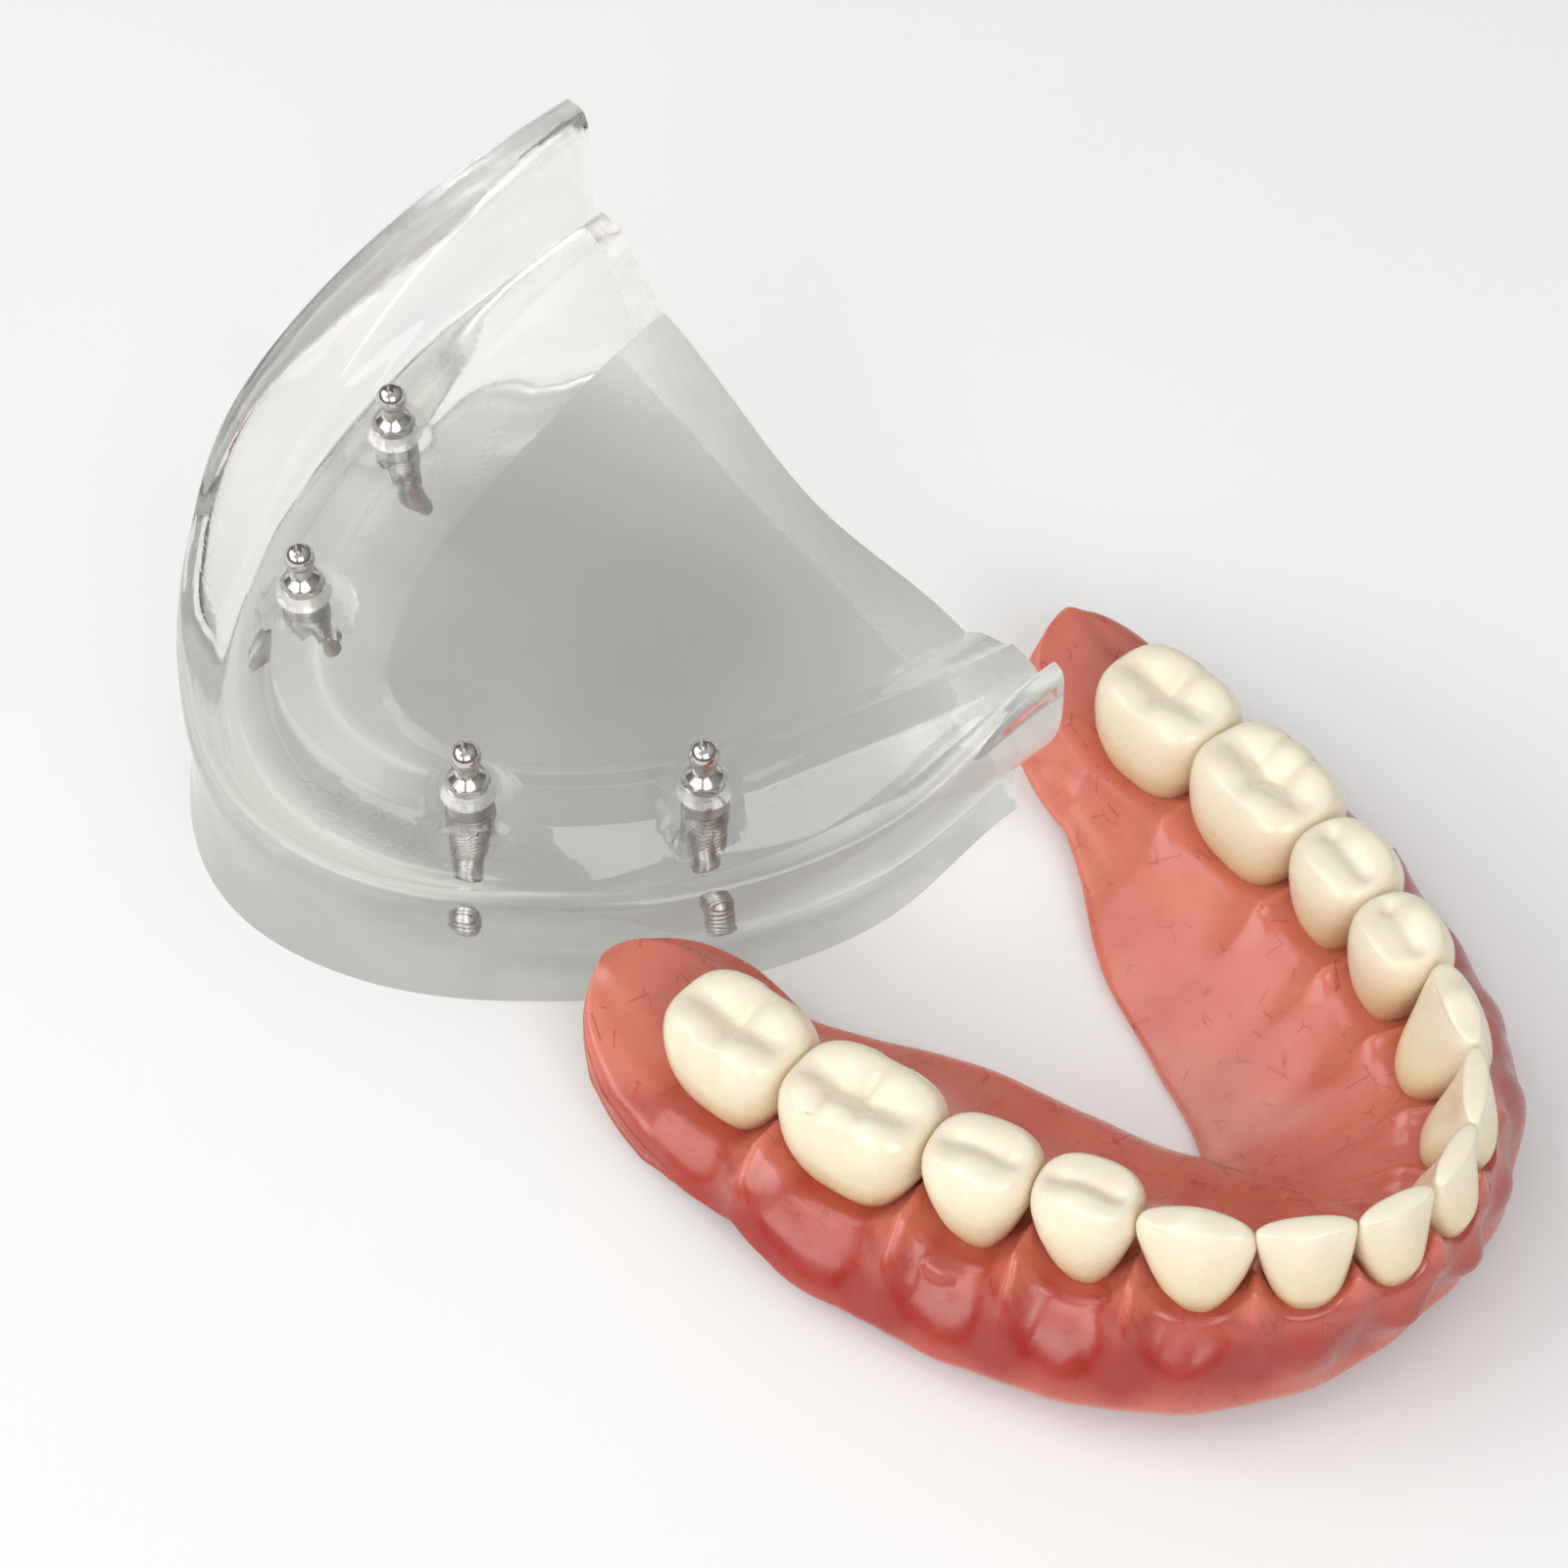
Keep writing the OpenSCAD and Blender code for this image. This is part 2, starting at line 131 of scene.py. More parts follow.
REAR_ANGLE = math.acos(1 - (BACK_WALL + CREST_FRONT) / CREST_LEN)
REAR_TURN = math.pi / 2 - math.atan2(CREST_LEN * math.sin(REAR_ANGLE),
                                     CREST_HALF_W * math.cos(REAR_ANGLE))


def crest_xy(t):
    return np.array([CREST_HALF_W * math.sin(t), -CREST_FRONT + CREST_LEN * (1 - math.cos(t))])


def outward(t):
    turn = math.atan2(CREST_LEN * math.sin(t), CREST_HALF_W * math.cos(t))
    turn += math.copysign(REAR_TURN * (t / REAR_ANGLE) ** 2, t)
    return np.array([math.sin(turn), -math.cos(turn)])


def crest_z(s):
    return CREST_H + along(CREST_RISE, s)


def lay_down(points):
    """Moves points from the denture's seat on the block to its place on the table."""
    tilt, turn = math.radians(-REST_TILT), math.radians(REST_TURN)
    place = (Matrix.Translation((REST_X, REST_Y, (BITE_H - BORDER_H) * math.cos(tilt)))
             @ Matrix.Rotation(turn, 4, "Z") @ Matrix.Rotation(tilt, 4, "X")
             @ Matrix.Translation(-Vector(SEAT_POINT)))
    m = np.array(place)
    return points @ m[:3, :3].T + m[:3, 3]


# ---- Meshes ----

def mesh_object(name, points, faces, smooth_angle=None):
    mesh = bpy.data.meshes.new(name)
    mesh.from_pydata((np.asarray(points) * MM).tolist(), [], faces)
    mesh.validate()
    bm = bmesh.new()
    bm.from_mesh(mesh)
    bmesh.ops.recalc_face_normals(bm, faces=bm.faces)
    bm.to_mesh(mesh)
    bm.free()
    obj = bpy.data.objects.new(name, mesh)
    bpy.context.scene.collection.objects.link(obj)
    for polygon in mesh.polygons:
        polygon.use_smooth = True
    if smooth_angle is not None:
        mesh.set_sharp_from_angle(angle=math.radians(smooth_angle))
    return obj


def grid_faces(rows, cols, wrap_rows=False, wrap_cols=False):
    """Quads of a grid whose points are stored row by row."""
    faces = []
    for i in range(rows if wrap_rows else rows - 1):
        for j in range(cols if wrap_cols else cols - 1):
            i2, j2 = (i + 1) % rows, (j + 1) % cols
            faces.append((i * cols + j, i * cols + j2, i2 * cols + j2, i2 * cols + j))
    return faces


def add_attribute(obj, name, values):
    attribute = obj.data.attributes.new(name, "FLOAT", "POINT")
    attribute.data.foreach_set("value", np.asarray(values, np.float32))


def apply_modifiers(obj):
    depsgraph = bpy.context.evaluated_depsgraph_get()
    mesh = bpy.data.meshes.new_from_object(obj.evaluated_get(depsgraph))
    obj.modifiers.clear()
    obj.data = mesh


def cut_away(obj, cutter):
    """Takes the cutter's shape out of the object, and removes the cutter."""
    modifier = obj.modifiers.new("cut", "BOOLEAN")
    modifier.object = cutter
    modifier.operation = "DIFFERENCE"
    modifier.solver = "EXACT"
    apply_modifiers(obj)
    bpy.data.objects.remove(cutter)


def turned(name, profile, centre, sides=64):
    """A solid turned about the upright axis through centre, from [radius, height] points."""
    points = []
    for r, z in profile:
        for k in range(sides):
            a = 2 * math.pi * k / sides
            points.append((centre[0] + r * math.cos(a), centre[1] + r * math.sin(a), z))
    faces = grid_faces(len(profile), sides, wrap_cols=True)
    faces.append(tuple(range(sides)))
    faces.append(tuple((len(profile) - 1) * sides + k for k in range(sides)))
    return mesh_object(name, points, faces)


def implant_xy(row, side):
    """The axis of an implant, taken from its node in the frame."""
    low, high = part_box(f"implant_{row}_{side}")
    return np.array([(low.x + high.x) / 2 / MM, (low.y + high.y) / 2 / MM])


# ---- Jaw block ----

BOSS_R, BOSS_H, BOSS_SKIRT = 2.15, 16, 1.9
SEAT_R, SEAT_FOOT = 1.85, 14.3
WALL_SHARE = 0.62


def block_profile(s, side):
    foot, crest = along(FOOT_OFF, s), crest_z(s)
    bulge = along(LEFT_BULGE, s) if side < 0 else 0
    drop = along(RIGHT_DROP, s) if side > 0 else 0
    rim, rim_h = along(RIM_OFF, s) + bulge, along(RIM_H, s) - drop
    floor_off, floor_h = along(FLOOR_OFF, s), along(FLOOR_H, s)
    return [[foot, 0], [foot - 0.7, 4], [along(WALL_OFF, s) + bulge, rim_h * WALL_SHARE],
            [rim, rim_h - 1.4], [rim - 0.9, rim_h],
            [rim - 0.9 - bulge - along(RIM_W, s), rim_h - 0.8],
            [along(VESTIBULE_OFF, s), along(VESTIBULE_H, s)],
            [2.5, crest - 1], [1.25, crest], [-1.25, crest], [-2.5, crest - 1],
            [-5.2, (crest + floor_h) / 2 - 0.2], [floor_off, floor_h]]


def block_section(t, profile_steps, floor_steps):
    s = abs(t) / REAR_ANGLE
    root, out = crest_xy(t), outward(t)
    curve = curve_through(block_profile(s, t), profile_steps)
    points = np.column_stack([root[0] + curve[:, 0] * out[0], root[1] + curve[:, 0] * out[1],
                              curve[:, 1]])
    edge = points[-1]
    middle = np.array([0, along(MIDLINE_Y, s), along(MIDLINE_H, s)])
    inner = []
    for i in range(1, floor_steps + 1):
        u = i / floor_steps
        w = u * u * (3 - 2 * u)
        inner.append([edge[0] * (1 - u), edge[1] + (middle[1] - edge[1]) * u,
                      edge[2] + (middle[2] - edge[2]) * w])
    return np.vstack([points, inner])


def make_block():
    steps = 110
    angles = [REAR_ANGLE * i / steps for i in range(-steps, steps + 1)]
    sections = np.array([block_section(t, 8, 22) for t in angles])
    cols, rows = sections.shape[:2]
    points = sections.reshape(-1, 3)
    for row, side in PLACES:
        centre = implant_xy(row, side)
        r = np.hypot(points[:, 0] - centre[0], points[:, 1] - centre[1])
        boss = BOSS_H - smooth(BOSS_R - 0.2, BOSS_R + BOSS_SKIRT, r) * (BOSS_H - CREST_H + 0.4)
        near = (r < BOSS_R + BOSS_SKIRT) & (points[:, 2] > CREST_H - 2.5)
        points[near, 2] = np.maximum(points[near, 2], boss[near])
    faces = grid_faces(cols, rows)
    faces.append(tuple(i * rows for i in range(cols)))
    back = [(cols - 1) * rows + j for j in range(rows)] + [j for j in range(rows - 2, -1, -1)]
    faces.append(tuple(back))
    obj = mesh_object("acrylic_block", points, faces)
    bm = bmesh.new()
    bm.from_mesh(obj.data)
    bmesh.ops.remove_doubles(bm, verts=bm.verts, dist=0.01 * MM)
    bmesh.ops.recalc_face_normals(bm, faces=bm.faces)
    bm.to_mesh(obj.data)
    bm.free()
    for row, side in PLACES:
        centre = implant_xy(row, side)
        cut_away(obj, turned("seat_cutter", [[SEAT_R - 0.12, SEAT_FOOT], [SEAT_R, SEAT_FOOT + 0.15],
                                             [SEAT_R, BOSS_H + 2]], centre))
    for polygon in obj.data.polygons:
        polygon.use_smooth = True
    obj.data.set_sharp_from_angle(angle=math.radians(38))
    return obj


# ---- Teeth ----

def tooth_xy(u):
    return np.array([TOOTH_HALF_W * math.sin(u), -TOOTH_FRONT + TOOTH_LEN * (1 - math.cos(u))])


WALK = np.linspace(0, 1.45, 1451)
ARCH = np.array([tooth_xy(u) for u in WALK])
ARCH_LEN = np.concatenate([[0], np.cumsum(np.linalg.norm(np.diff(ARCH, axis=0), axis=1))])


def tooth_place(kind):
    """Centre and facing angle of a right-hand tooth."""
    length = sum(TOOTH_W[:kind]) + TOOTH_W[kind] / 2
    u = np.interp(length, ARCH_LEN, WALK)
    return tooth_xy(u), math.atan2(TOOTH_LEN * math.sin(u), TOOTH_HALF_W * math.cos(u))


# Sides of a crown from the root to the height of the biting rim: height as a share of the
# crown's height, and the outline's width and depth as shares of the full size
FRONT_SIDE = [[-0.22, 0.6, 0.66], [-0.08, 0.7, 0.8], [0.04, 0.79, 0.9], [0.16, 0.87, 0.95],
              [0.32, 0.95, 0.9], [0.5, 1.02, 0.78], [0.68, 1.07, 0.62], [0.84, 1.1, 0.47],
              [0.95, 1.09, 0.36]]
CANINE_SIDE = [[-0.22, 0.46, 0.7], [-0.08, 0.55, 0.82], [0.04, 0.65, 0.92], [0.16, 0.76, 0.97],
               [0.32, 0.88, 0.94], [0.5, 0.98, 0.82], [0.68, 1.05, 0.66], [0.84, 1.04, 0.5],
               [0.95, 0.94, 0.38]]
PREMOLAR_SIDE = [[-0.22, 0.42, 0.58], [-0.08, 0.5, 0.7], [0.05, 0.6, 0.82], [0.18, 0.7, 0.92],
                 [0.34, 0.82, 0.98], [0.52, 0.94, 1], [0.7, 1, 0.97], [0.84, 0.97, 0.88],
                 [0.93, 0.88, 0.76]]
MOLAR_SIDE = [[-0.22, 0.6, 0.66], [-0.08, 0.68, 0.78], [0.05, 0.77, 0.89], [0.18, 0.86, 0.96],
              [0.34, 0.95, 1], [0.52, 0.99, 1], [0.7, 1, 0.96], [0.83, 0.98, 0.88],
              [0.91, 0.92, 0.79]]
SIDE_SHAPE = [FRONT_SIDE, FRONT_SIDE, CANINE_SIDE, PREMOLAR_SIDE, PREMOLAR_SIDE, MOLAR_SIDE,
              MOLAR_SIDE]
BOXY = [2.3, 2.3, 2.3, 2.4, 2.5, 3, 3]
# How far a crown leans outwards over its height
FRONT_LEAN, BACK_LEAN = 1.5, 0.25
# Rings of the biting surface, as shares of the rim
INWARD = [0.93, 0.84, 0.74, 0.63, 0.52, 0.41, 0.3, 0.2, 0.1, 0.001]
CROWN_SIDES = 72
# Cusps of the back teeth: mesiodistal and buccolingual place (buccal is negative), as
# shares of the half sizes, height in mm above the rim, and width
CUSPS = {3: [(0, -0.5, 1.0, 0.5), (0, 0.55, 0.3, 0.42)],
         4: [(0, -0.5, 0.8, 0.48), (-0.3, 0.55, 0.4, 0.36), (0.35, 0.55, 0.3, 0.34)],
         5: [(-0.52, -0.58, 0.75, 0.3), (0.06, -0.62, 0.7, 0.3), (0.62, -0.45, 0.5, 0.28),
             (-0.42, 0.58, 0.7, 0.34), (0.42, 0.58, 0.6, 0.34)],
         6: [(-0.45, -0.55, 0.7, 0.34), (0.45, -0.55, 0.6, 0.34), (-0.45, 0.55, 0.65, 0.34),
             (0.45, 0.55, 0.5, 0.34)]}


def superellipse(angle, power):
    c, s = math.cos(angle), math.sin(angle)
    return (math.copysign(abs(c) ** (2 / power), c), math.copysign(abs(s) ** (2 / power), s))


def crown_points(kind, around):
    """Rings of a crown from its root to the middle of its biting surface, in its own frame:
    x along the arch away from the midline, y inwards, z up from the neck."""
    w, d, h = TOOTH_W[kind] - 0.05, TOOTH_D[kind], BITE_H - BED_H
    side = curve_through(SIDE_SHAPE[kind], 4)
    outline = [superellipse(2 * math.pi * (k + 0.5) / around, BOXY[kind]) for k in range(around)]
    front = kind <= 2
    full_lean = FRONT_LEAN if front else BACK_LEAN
    rings = []
    for z, share_w, share_d in side:
        lean = full_lean * max(z, 0)
        ring = []
        for px, py in outline:
            x, y = px * w / 2 * share_w, py * d / 2 * share_d
            buccal = max(0, -py)
            if front and py > 0:
                y -= 0.6 * math.exp(-((z - 0.62) / 0.3) ** 2) * py * (1 - 0.5 * px * px)
            if front:
                y -= 0.16 * buccal * (math.cos(px * 4.2) - 0.6) * smooth(0.1, 0.6, z)
            if kind >= 5:
                for groove, depth in ((-0.22, 0.42), (0.36, 0.3)):
                    y += depth * buccal * math.exp(-((px - groove) / 0.11) ** 2) \
                        * smooth(0.38, 0.85, z)
                y -= 0.32 * max(0, py) * math.exp(-(px / 0.13) ** 2) * smooth(0.5, 0.9, z)
            ring.append([x, y - lean, z * h])
        rings.append(ring)
    rim_z, rim_w, rim_d = side[-1]
    top_lean = full_lean * rim_z
    for rho in INWARD:
        ring = []
        for px, py in outline:
            p, q = px * rho, py * rho
            ring.append([p * w / 2 * rim_w, q * d / 2 * rim_d - top_lean,
                         rim_z * h + biting_height(kind, p, q, rho)])
        rings.append(ring)
    return np.array(rings)


def biting_height(kind, p, q, rho):
    """Height of the biting surface above the crown's rim, at the place p, q of the outline;
    rho is 1 at the rim and 0 in the middle."""
    edge = math.sqrt(max(0, 1 - rho ** 2.4))
    if kind <= 1:
        return 0.42 * edge * (1 - 0.12 * p * p)
    if kind == 2:
        return 0.25 * edge + 0.55 * math.exp(-(p / 0.42) ** 2) * edge
    rise = 0.12 * edge
    for cx, cy, height, width in CUSPS[kind]:
        g = math.exp(-(((p - cx) / width) ** 2 + ((q - cy) / width) ** 2) / 1.6)
        rise += height * g * min(1, 2.2 * edge)
    groove = 0.42 if kind >= 5 else 0.36
    rise -= groove * math.exp(-(q / 0.2) ** 2) * smooth(1.0, 0.72, rho) * 0.8
    if kind == 5:
        cross = math.exp(-((p + 0.2) / 0.1) ** 2) * smooth(0.1, -0.1, q)
        cross += math.exp(-((p - 0.34) / 0.1) ** 2) * smooth(0.1, -0.1, q)
        cross += math.exp(-(p / 0.11) ** 2) * smooth(-0.1, 0.1, q)
        rise -= 0.3 * cross
    if kind == 6:
        rise -= 0.3 * math.exp(-(p / 0.14) ** 2)
    if kind in (3, 4):
        rise -= 0.25 * (math.exp(-((p - 0.55) / 0.16) ** 2)
                        + math.exp(-((p + 0.55) / 0.16) ** 2)) * math.exp(-(q / 0.3) ** 2)
    rise -= 0.5 * math.exp(-(rho / 0.55) ** 2) * (1 if kind >= 5 else 0.6)
    return rise


def make_tooth(kind, side_name, rng):
    side = SIDES[side_name]
    around = CROWN_SIDES
    rings = crown_points(kind, around)
    centre, facing = tooth_place(kind)
    twist = rng.uniform(-0.04, 0.04)
    c, s = math.cos(side * facing + twist), math.sin(side * facing + twist)
    local = rings.reshape(-1, 3).copy()
    neck = local[:, 2] / (BITE_H - BED_H)
    local[:, 0] *= side
    x = side * centre[0] + c * local[:, 0] - s * local[:, 1]
    y = centre[1] + s * local[:, 0] + c * local[:, 1]
    points = np.column_stack([x, y, BED_H + local[:, 2]])
    rows = len(rings)
    faces = grid_faces(rows, around, wrap_cols=True)
    faces.append(tuple(range(around)))
    faces.append(tuple((rows - 1) * around + k for k in range(around)))
    obj = mesh_object(f"crown_{KINDS[kind]}_{side_name}", lay_down(points), faces)
    add_attribute(obj, "height", neck)
    return obj


# ---- Denture base ----

# Sections of the gum and of each end pad, and the points of a section
GUM_STEPS, PAD_STEPS, RING_STEPS, BED_STEPS = 170, 22, 5, 16
PAD_TURN = math.radians(88.5)
# The gum stays this far from the axis of each housing, above this height
COVER_R, COVER_FOOT = 3.1, 18.5
# The hole up through the gum that clears an abutment, and the housing's seat above it
RELIEF_R, RELIEF_FOOT, RELIEF_TOP = 2.7, 5, 17.6
HOUSING_SEAT_R, HOUSING_SEAT_TOP = 2.42, 21.3


def denture_profile(s):
    bed, half, crest = along(BED_OFF, s), along(BED_HALF, s), crest_z(s) + FIT_GAP
    buccal, buccal_h = along(BUCCAL_OFF, s), along(BUCCAL_H, s)
    lingual, lingual_h = along(LINGUAL_OFF, s), along(LINGUAL_H, s)
    out, inn = bed + half, bed - half
    return [[out, BED_H], [max(out, (out + buccal) / 2) + 0.6, (BED_H * 2 + buccal_h) / 3],
            [buccal + 0.1, (BED_H + buccal_h * 2) / 3 - 0.4], [buccal, buccal_h + 1],
            [buccal - 0.9, buccal_h], [buccal - 1.7, buccal_h + 1.2], [2.85, crest - 0.75],
            [1.25, crest], [-1.25, crest], [-2.85, crest - 0.75],
            [lingual + 3, lingual_h + 1.8], [lingual + 1.4, lingual_h + 0.1],
            [lingual + 0.3, lingual_h + 0.3], [lingual, lingual_h + 1.4],
            [(lingual + inn) / 2 - 0.1, (BED_H + lingual_h) / 2], [inn, BED_H]]


def denture_ring(profile, steps, bed_steps):
    """The profile as a smooth closed ring: round the borders, then across the bed."""
    curve = curve_through(profile, steps)
    a, b = curve[-1], curve[0]
    bed = [a + (b - a) * i / bed_steps for i in range(1, bed_steps)]
    return np.vstack([curve, bed])


def stand(ring, root, out):
    """Stands a ring upright at a place of the crest, facing outwards."""
    return np.column_stack([root[0] + ring[:, 0] * out[0], root[1] + ring[:, 0] * out[1],
                            ring[:, 1]])


def pad_section(side, u):
    """A section of an end pad, at a share u of its length behind the last full section."""
    t = side * DENTURE_END * REAR_ANGLE
    out = outward(t)
    back = np.array([-side * out[1], side * out[0]])
    grow = (1 - u ** CAP_SQUARE) ** (1 / CAP_SQUARE)
    pivot = np.array(CAP_PIVOT)
    full = denture_ring(denture_profile(DENTURE_END), RING_STEPS, BED_STEPS)
    ring = pivot + np.array([0, CAP_RISE * u]) + (full - pivot) * grow
    return stand(ring, crest_xy(t) + CAP_LEN * u * back, out)


def gum_sections():
    """Sections from the left end pad round the front to the right end pad."""
    end = DENTURE_END * REAR_ANGLE
    shares = [math.sin(PAD_TURN * i / PAD_STEPS) for i in range(1, PAD_STEPS + 1)]
    sections = [pad_section(-1, u) for u in reversed(shares)]
    for i in range(-GUM_STEPS, GUM_STEPS + 1):
        t = end * i / GUM_STEPS
        ring = denture_ring(denture_profile(abs(t) / REAR_ANGLE), RING_STEPS, BED_STEPS)
        sections.append(stand(ring, crest_xy(t), outward(t)))
    return np.array(sections + [pad_section(1, u) for u in shares])


def place_on_arch(points):
    """For each point: how far it lies along the tooth arch from the midline, how far outside
    the arch, and which way is outwards there."""
    full = np.vstack([ARCH[::-1] * [-1, 1], ARCH[1:]])
    lengths = np.concatenate([-ARCH_LEN[::-1], ARCH_LEN[1:]])
    batch = 4000
    nearest = np.concatenate([
        np.linalg.norm(points[k:k + batch, None, :2] - full[None], axis=2).argmin(1)
        for k in range(0, len(points), batch)])
    tangent = np.gradient(full, axis=0)[nearest]
    tangent /= np.linalg.norm(tangent, axis=1)[:, None]
    outwards = np.column_stack([tangent[:, 1], -tangent[:, 0]])
    offset = ((points[:, :2] - full[nearest]) * outwards).sum(1)
    return abs(lengths[nearest]), offset, outwards


def share_between_crowns(span):
    """1 between two crowns and 0 at the middle of a crown."""
    edges = np.cumsum([0] + TOOTH_W)
    middles = (edges[1:] + edges[:-1]) / 2
    kind = np.clip(np.searchsorted(edges, span) - 1, 0, len(KINDS) - 1)
    half = np.array(TOOTH_W)[kind] / 2
    return np.clip(abs(span - middles[kind]) / half, 0, 1)


def model_gum(points):
    """Moves the points to raise the gum between the crowns and over the roots, and gives the
    shares of darkening and of pale colour at each point. The darkening is painted shade between
    the roots and along the tooth necks, and a darker red band along the outer flank."""
    span, offset, outwards = place_on_arch(points)
    between = share_between_crowns(span)
    row_end = sum(TOOTH_W)
    on_row = 1 - smooth(row_end - 1.0, row_end + 1.5, span)
    z = points[:, 2]
    outer = smooth(-1, 1.5, offset)
    inner = 1 - outer

    high = smooth(BED_H - 7.5, BED_H - 0.2, z)
    papilla = between ** 3.2 * on_row
    lift = papilla * (2.6 * high * outer + 1.3 * smooth(BED_H - 3, BED_H - 0.2, z) * inner)
    lift -= high * (1 - between ** 2) * (0.3 + 0.6 * smooth(1.5, 3.5, offset)) * on_row
    z += lift

    roots = np.exp(-((z - (BED_H - 4.6)) / 3.4) ** 2)
    margin = np.exp(-((z - (BED_H - 0.5)) / 0.5) ** 2)
    wave = 0.5 * np.cos(math.pi * between) * on_row
    wave = np.where(wave < 0, wave * (0.75 - 0.75 * smooth(15, 23, span)), wave)
    front_share = 1 - 0.45 * smooth(18, 32, span)
    push = (roots * wave * 1.3 * front_share + margin * 0.16 * on_row) * outer
    push -= (roots * wave * 0.2 + margin * 0.08) * inner * smooth(0, -4, offset) * on_row
    points[:, :2] += outwards * push[:, None]

    # Darkening: painted shade between the roots and along the tooth necks, plus a darker red band
    # along the outer flank
    flank = np.exp(-((z - 18.5) / 3.2) ** 2) * outer
    darkening = np.clip(0.9 * flank + roots * between ** 2 * 0.6 + margin * 0.4, 0, 1) * on_row
    border = 1 - smooth(0, 3.2, z - np.where(offset > 0, 11.8, 12.6))
    ends = smooth(row_end - 5, row_end + 2, span)
    return darkening * np.where(offset > -1, 1, 0.35), np.clip(0.35 * border + ends, 0, 1)


def keep_off_housings(points):
    """Pushes the gum's skin outwards where it would be thin beside a housing."""
    for row, side in PLACES:
        away = points[:, :2] - implant_xy(row, side)
        r = np.linalg.norm(away, axis=1)
        thin = (r < COVER_R) & (points[:, 2] > COVER_FOOT) & (points[:, 2] < BED_H - 0.9)
        points[thin, :2] += away[thin] * (COVER_R / r[thin] - 1)[:, None]


def make_denture():
    sections = gum_sections()
    n, m = sections.shape[:2]
    points = sections.reshape(-1, 3)
    darkening, pale = model_gum(points)
    keep_off_housings(points)
    faces = grid_faces(n, m, wrap_cols=True)
    faces.append(tuple(range(m)))
    faces.append(tuple((n - 1) * m + j for j in range(m)))
    obj = mesh_object("gum_base", lay_down(points), faces)
    # Share of painted shade between the roots and at the necks, with the darker red flank band
    add_attribute(obj, "shade_and_dark_red", darkening)
    add_attribute(obj, "pale", pale)
    for row, side in PLACES:
        hole = [[RELIEF_R, RELIEF_FOOT], [RELIEF_R, RELIEF_TOP],
                [HOUSING_SEAT_R, RELIEF_TOP + 0.02], [HOUSING_SEAT_R, HOUSING_SEAT_TOP]]
        cutter = turned("relief_cutter", hole, implant_xy(row, side), 48)
        co = np.array([v.co for v in cutter.data.vertices]) / MM
        cutter.data.vertices.foreach_set("co", (lay_down(co) * MM).ravel())
        cut_away(obj, cutter)
    return obj


# ---- Materials ----

class Nodes:
    """A material's node tree, with short ways to add and join nodes."""

    def __init__(self, name):
        self.material = bpy.data.materials.new(name)
        self.material.use_nodes = True
        self.tree = self.material.node_tree
        self.tree.nodes.clear()
        self.output = self.tree.nodes.new("ShaderNodeOutputMaterial")

    def add(self, kind, inputs=None, **settings):
        node = self.tree.nodes.new("ShaderNode" + kind)
        for key, value in settings.items():
            setattr(node, key, value)
        for key, value in (inputs or {}).items():
            if isinstance(value, bpy.types.NodeSocket):
                self.tree.links.new(value, node.inputs[key])
            else:
                node.inputs[key].default_value = value
        return node

    def place(self):
        return self.add("TexCoord").outputs["Object"]

    def noise(self, scale, detail=3, rough=0.5, vector=None):
        node = self.add("TexNoise", {"Vector": vector or self.place(), "Scale": scale,
                                     "Detail": detail, "Roughness": rough})
        return node.outputs["Fac"]

    def ramp(self, value, *stops):
        node = self.add("ValToRGB", {"Fac": value})
        ramp = node.color_ramp
        while len(ramp.elements) < len(stops):
            ramp.elements.new(0.5)
        for element, (position, colour) in zip(ramp.elements, stops):
            element.position = position
            element.color = (*colour, 1)
        return node.outputs["Color"]

    def grey(self, value, low, high, at_low=0.0, at_high=1.0):
        node = self.add("MapRange", {"Value": value, "From Min": low, "From Max": high,
                                     "To Min": at_low, "To Max": at_high})
        return node.outputs["Result"]

    def math(self, operation, a, b=0.0):
        return self.add("Math", {0: a, 1: b}, operation=operation).outputs[0]

    def mix(self, factor, a, b):
        node = self.add("Mix", data_type="RGBA")
        for key, value in ((0, factor), (6, a), (7, b)):
            if isinstance(value, bpy.types.NodeSocket):
                self.tree.links.new(value, node.inputs[key])
            else:
                node.inputs[key].default_value = (*value, 1) if isinstance(value, tuple) else value
        return node.outputs[2]

    def attribute(self, name):
        return self.add("Attribute", attribute_name=name).outputs["Fac"]

    def bump(self, height, strength, distance, normal=None):
        inputs = {"Height": height, "Strength": strength, "Distance": distance}
        if normal is not None:
            inputs["Normal"] = normal
        return self.add("Bump", inputs).outputs["Normal"]

    def finish(self, inputs):
        shader = self.add("BsdfPrincipled", inputs)
        self.tree.links.new(shader.outputs["BSDF"], self.output.inputs["Surface"])
        return self.material


def let_lamps_through(n, shader, tint):
    """Lets the rays from lamps pass straight through the glass, so that what is under it is lit."""
    clear = n.add("BsdfTransparent", {"Color": (*tint, 1)})
    mix = n.add("MixShader", {0: n.add("LightPath").outputs["Is Shadow Ray"], 1: shader,
                              2: clear.outputs[0]})
    n.tree.links.new(mix.outputs[0], n.output.inputs["Surface"])
    return n.material


